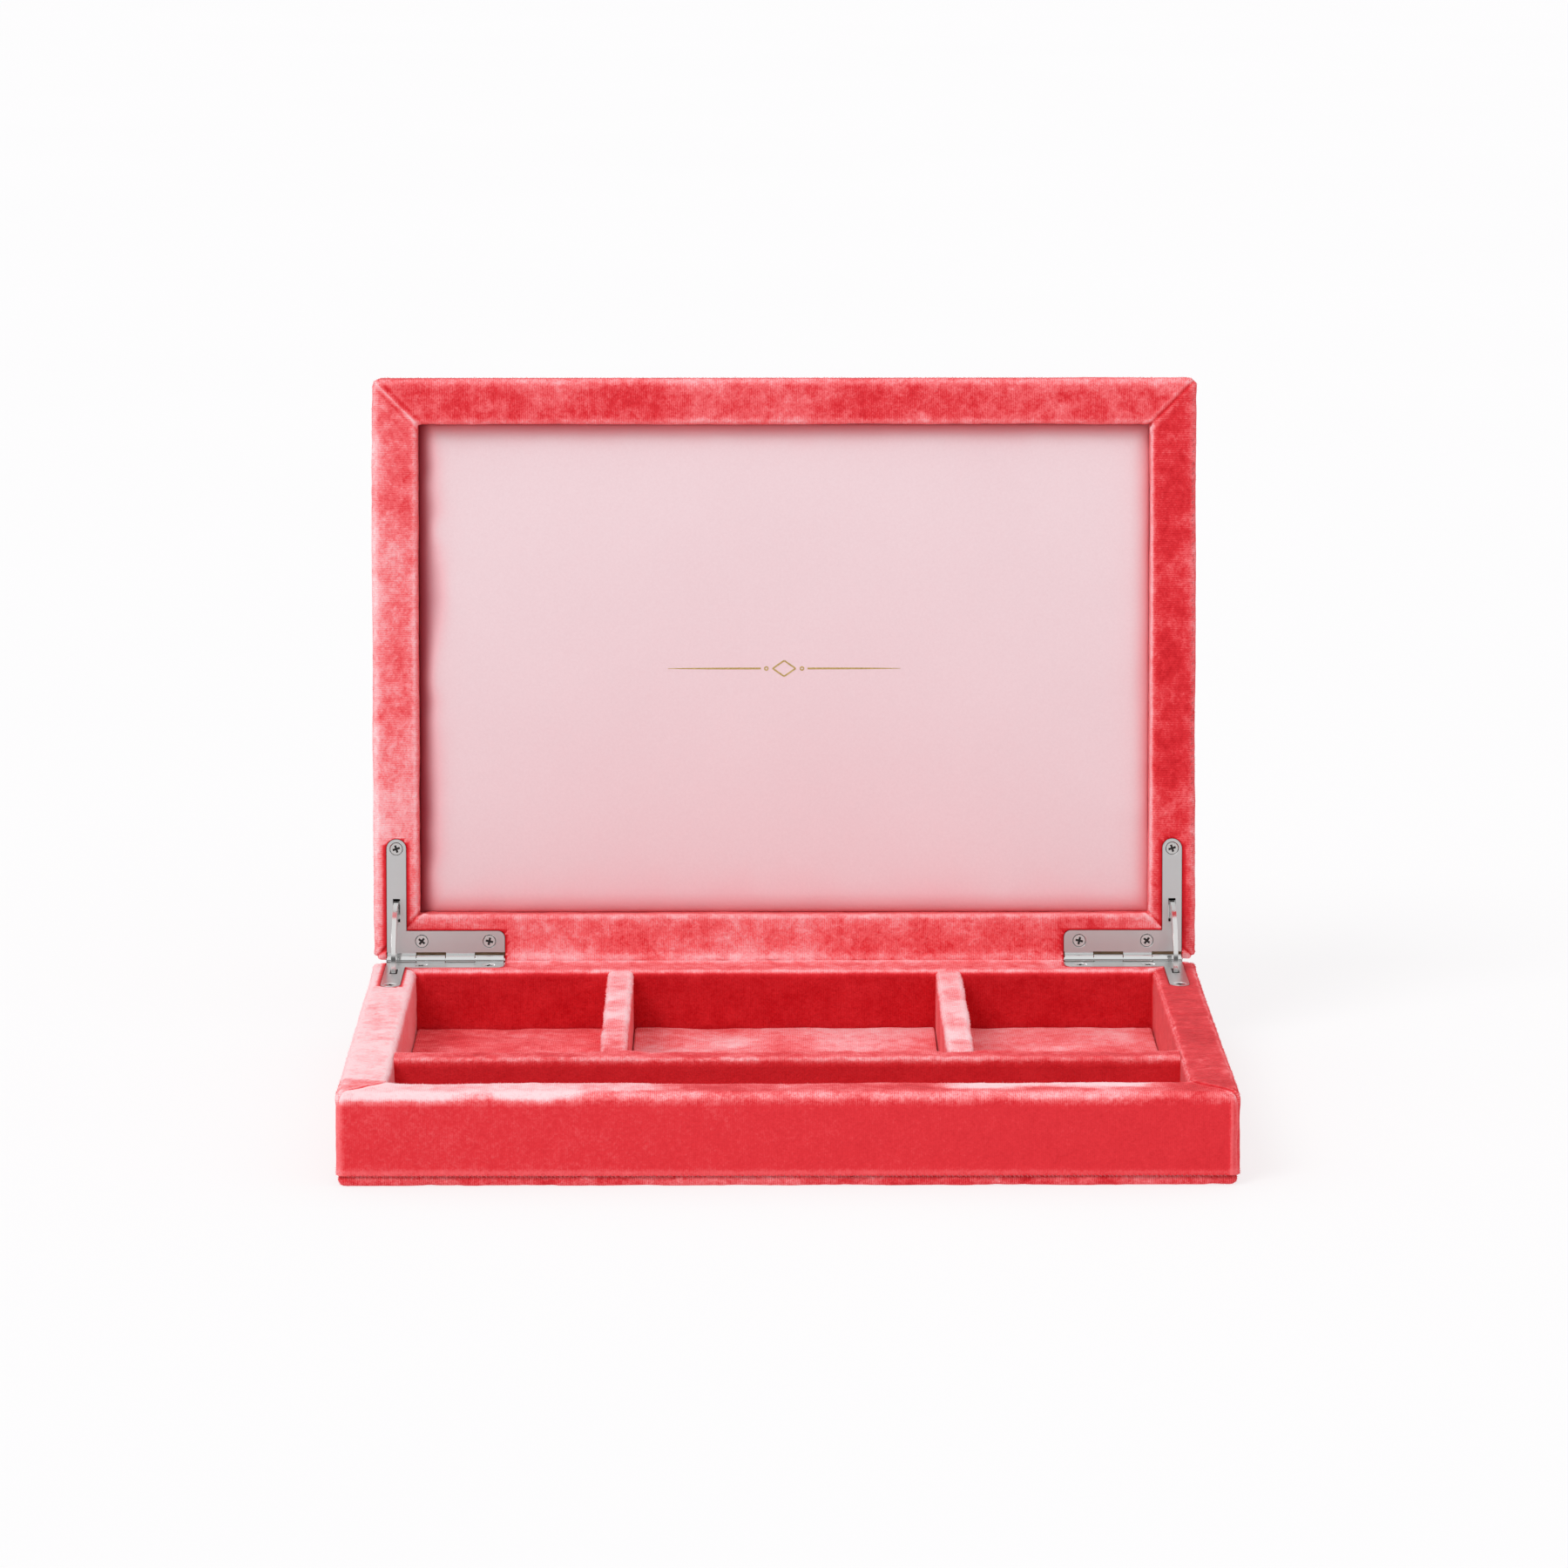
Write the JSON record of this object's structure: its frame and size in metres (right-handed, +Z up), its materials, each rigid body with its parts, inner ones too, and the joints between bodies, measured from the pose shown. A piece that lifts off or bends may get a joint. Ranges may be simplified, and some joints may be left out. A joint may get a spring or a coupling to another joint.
{
  "type": "jewelry box",
  "caption": "Flat velvet-covered box with a divided tray, a satin-lined lid on two quadrant hinges with sliding stays, shown open.",
  "frame": {"origin": "centre of the tray's underside, the face that it rests on", "axes": "+X right along the hinge line, +Y to the hinge side, +Z up; the front is at -Y"},
  "size_m": [0.23, 0.2007, 0.1859],
  "materials": {
    "velvet": "crushed velvet, coral red",
    "floor_velvet": "crushed velvet over foam",
    "satin": "pale pink satin",
    "gold_foil": "gold foil",
    "hinge_metal": "polished nickel plate",
    "screw_metal": "nickel plate",
    "stay_metal": "polished nickel plate",
    "rail_board": "raw fibreboard",
    "grey_board": "grey board",
    "foam": "open-cell foam"
  },
  "bodies": {
    "tray": {"bottom_board": "grey_board", "bottom_velvet": "velvet", "cross_divider_board": "grey_board", "cross_divider_velvet": "velvet", "front_floor_pad": "floor_velvet", "left_divider_board": "grey_board", "left_divider_velvet": "velvet", "left_floor_pad": "floor_velvet", "left_hinge_pin": "hinge_metal", "left_hinge_tray_leaf": "hinge_metal", "left_hinge_tray_screws": "screw_metal", "middle_floor_pad": "floor_velvet", "right_divider_board": "grey_board", "right_divider_velvet": "velvet", "right_floor_pad": "floor_velvet", "right_hinge_pin": "hinge_metal", "right_hinge_tray_leaf": "hinge_metal", "right_hinge_tray_screws": "screw_metal", "tray_front_rail": "rail_board", "tray_left_rail": "rail_board", "tray_rear_rail": "rail_board", "tray_right_rail": "rail_board", "tray_velvet": "velvet"},
    "lid": {"foil_ornament": "gold_foil", "left_hinge_lid_leaf": "hinge_metal", "left_hinge_lid_screws": "screw_metal", "lid_foam": "foam", "lid_front_rail": "rail_board", "lid_left_rail": "rail_board", "lid_rear_rail": "rail_board", "lid_right_rail": "rail_board", "lid_top_board": "grey_board", "lid_top_velvet": "velvet", "lid_velvet": "velvet", "right_hinge_lid_leaf": "hinge_metal", "right_hinge_lid_screws": "screw_metal", "satin_board": "grey_board", "satin_pad": "satin"},
    "left_stay": {"left_stay_arm": "stay_metal"},
    "right_stay": {"right_stay_arm": "stay_metal"}
  },
  "joints": [
    {"name": "lid_hinge", "type": "hinge", "parent": "tray", "child": "lid", "pos_m": [0, 0.08125, 0.0247], "axis": [1, 0, 0], "range_deg": [0, 96.5]},
    {"name": "left_stay_swing", "type": "hinge", "parent": "tray", "child": "left_stay", "pos_m": [-0.1084, 0.08125, 0.0247], "axis": [1, 0, 0], "range_deg": [0, 48.25]},
    {"name": "right_stay_swing", "type": "hinge", "parent": "tray", "child": "right_stay", "pos_m": [0.1084, 0.08125, 0.0247], "axis": [1, 0, 0], "range_deg": [0, 48.25]}
  ],
  "couplings": [
    {"joint": "left_stay_swing", "follows": "lid_hinge", "ratio": 0.5},
    {"joint": "right_stay_swing", "follows": "lid_hinge", "ratio": 0.5}
  ]
}
